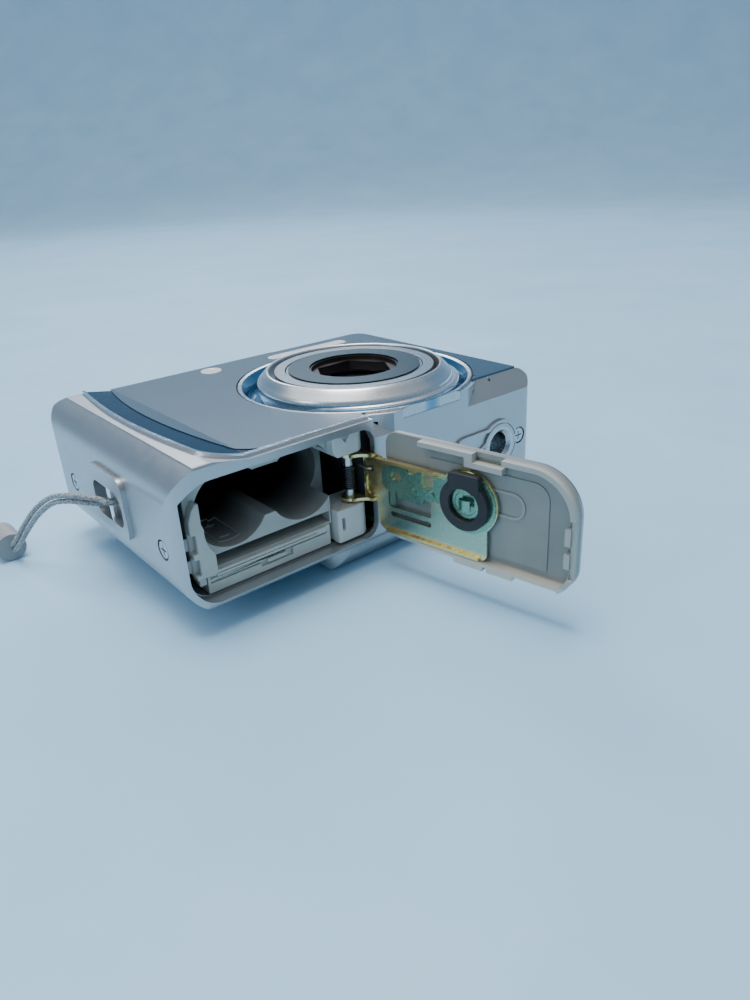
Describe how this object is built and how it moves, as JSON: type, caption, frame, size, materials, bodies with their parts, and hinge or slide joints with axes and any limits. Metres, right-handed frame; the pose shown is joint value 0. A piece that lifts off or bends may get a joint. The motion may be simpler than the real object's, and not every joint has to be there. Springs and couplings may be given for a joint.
{
  "type": "compact digital camera",
  "caption": "Pocket digital camera lying on its back with its sprung battery door open, showing cell bays, card slot, hinge plate and wrist strap.",
  "frame": {"origin": "where the optical axis meets the surface the camera lies on, in the plane of the display window", "axes": "+Z is the optical axis, out of the front; -Y points out of the camera's base; -X points out of the grip end"},
  "size_m": [0.142, 0.128, 0.0337],
  "materials": {
    "silver_paint": "satin metallic silver lacquer over a moulded cover",
    "brushed_panel": "blue-grey brushed and anodised",
    "dark_blue": "high gloss",
    "bright_chrome": "polished",
    "bezel_silver": "fine turned satin",
    "barrel_metal": "turned and anodised",
    "ring_grey": "fine circular grain",
    "black_plastic": "matt",
    "lens_glass": "coated optical glass",
    "clear_window": "ribbed clear plastic",
    "dark_window": "smoked and polished",
    "reflector": "bright metallised",
    "pale_lamp": "clear lens over a pale reflector",
    "green_lamp": "translucent green",
    "circuit_board": "solder resist",
    "small_metal": "plain rolled metal",
    "inner_plastic": "fine moulded texture, light grey",
    "tray_plastic": "fine moulded texture, beige",
    "hinge_plastic": "smooth moulded, off-white",
    "door_silver": "satin silver outside, bare light grey moulding inside",
    "yellow_zinc": "yellow passivated zinc plate",
    "contact_metal": "nickel with a green passivated tint",
    "gold_contact": "gold flash",
    "spring_steel": "blackened spring wire",
    "steel_pin": "ground",
    "button_grey": "satin lacquered",
    "strap_cord": "braided polyester cord",
    "strap_slider": "ribbed moulding"
  },
  "bodies": {
    "case": {"front_cover": "silver_paint", "rear_cover": "silver_paint", "front_panel": "brushed_panel", "accent_strip": "dark_blue", "chrome_trim": "bright_chrome", "lens_dish": "dark_blue", "lens_bezel": "bezel_silver", "lens_guide": "black_plastic", "rear_element": "lens_glass", "lens_base": "black_plastic", "image_sensor": "circuit_board", "zoom_motor": "small_metal", "flash_window": "clear_window", "flash_reflector": "reflector", "flash_capacitor": "black_plastic", "timer_lamp": "pale_lamp", "microphone": "small_metal", "main_board": "circuit_board", "button_board": "circuit_board", "button_switches": "small_metal", "lcd_module": "black_plastic", "lcd_window": "dark_window", "status_lights": "green_lamp", "speaker": "black_plastic", "usb_socket": "small_metal", "battery_chamber": "inner_plastic", "cell_contacts": "small_metal", "card_tray": "tray_plastic", "card_contacts": "gold_contact", "catch_post": "inner_plastic", "upper_hinge_block": "hinge_plastic", "lower_hinge_block": "hinge_plastic", "hinge_pin": "steel_pin", "tripod_socket": "small_metal", "case_screws": "small_metal", "strap_bar": "bright_chrome", "strap_loop": "strap_cord", "strap_slider": "strap_slider", "strap_tail": "strap_cord", "strap_hank": "strap_cord"},
    "door_plate": {"hinge_plate": "yellow_zinc", "hinge_spring": "spring_steel", "contact_plate": "contact_metal", "contact_rivets": "contact_metal", "contact_ring": "black_plastic", "contact_leaf": "contact_metal"},
    "door_cover": {"door_cover": "door_silver"},
    "outer_barrel": {"outer_barrel": "barrel_metal"},
    "inner_barrel": {"inner_barrel": "barrel_metal", "name_ring": "ring_grey", "lens_baffle": "black_plastic", "front_element": "lens_glass"},
    "port_cover": {"port_cover": "button_grey"},
    "shutter_button": {"shutter_button": "bezel_silver"},
    "power_button": {"power_button": "button_grey"},
    "zoom_rocker": {"zoom_rocker": "button_grey"},
    "menu_button": {"menu_button": "button_grey"},
    "play_button": {"play_button": "button_grey"},
    "four_way_pad": {"four_way_pad": "button_grey"},
    "ok_button": {"ok_button": "bezel_silver"}
  },
  "joints": [
    {"name": "battery_door", "type": "hinge", "parent": "case", "child": "door_plate", "pos_m": [-0.0189, -0.0208, 0.018], "axis": [0, 0, 1], "range_deg": [-100.5, 0], "stiffness_Nm_per_rad": 0.002},
    {"name": "battery_cover_slide", "type": "slide", "parent": "door_plate", "child": "door_cover", "axis": [0.1822, -0.9833, 0], "range_m": [-0.0106, 0]},
    {"name": "lens_extend", "type": "slide", "parent": "case", "child": "outer_barrel", "axis": [0, 0, 1], "range_m": [0, 0.012]},
    {"name": "lens_inner_extend", "type": "slide", "parent": "outer_barrel", "child": "inner_barrel", "axis": [0, 0, 1], "range_m": [0, 0.009]},
    {"name": "port_flap", "type": "hinge", "parent": "case", "child": "port_cover", "pos_m": [0.0304, 0.0115, 0.0125], "axis": [0, 0, 1], "range_deg": [0, 90]},
    {"name": "shutter_press", "type": "slide", "parent": "case", "child": "shutter_button", "axis": [0, -1, 0], "range_m": [0, 0.0003], "stiffness_N_per_m": 150},
    {"name": "power_press", "type": "slide", "parent": "case", "child": "power_button", "axis": [0, -1, 0], "range_m": [0, 0.0003], "stiffness_N_per_m": 150},
    {"name": "zoom_rock", "type": "hinge", "parent": "case", "child": "zoom_rocker", "pos_m": [-0.042, 0.026, 0.007], "axis": [0, 1, 0], "range_deg": [-3, 3], "stiffness_Nm_per_rad": 0.02},
    {"name": "menu_press", "type": "slide", "parent": "case", "child": "menu_button", "axis": [0, 0, 1], "range_m": [0, 0.0003], "stiffness_N_per_m": 150},
    {"name": "play_press", "type": "slide", "parent": "case", "child": "play_button", "axis": [0, 0, 1], "range_m": [0, 0.0003], "stiffness_N_per_m": 150},
    {"name": "pad_press", "type": "slide", "parent": "case", "child": "four_way_pad", "axis": [0, 0, 1], "range_m": [0, 0.0003], "stiffness_N_per_m": 150},
    {"name": "ok_press", "type": "slide", "parent": "case", "child": "ok_button", "axis": [0, 0, 1], "range_m": [0, 0.0003], "stiffness_N_per_m": 150}
  ],
  "couplings": [
    {"joint": "battery_cover_slide", "follows": "battery_door", "m_per_rad": 0.0059861},
    {"joint": "lens_inner_extend", "follows": "lens_extend", "ratio": 0.75}
  ]
}
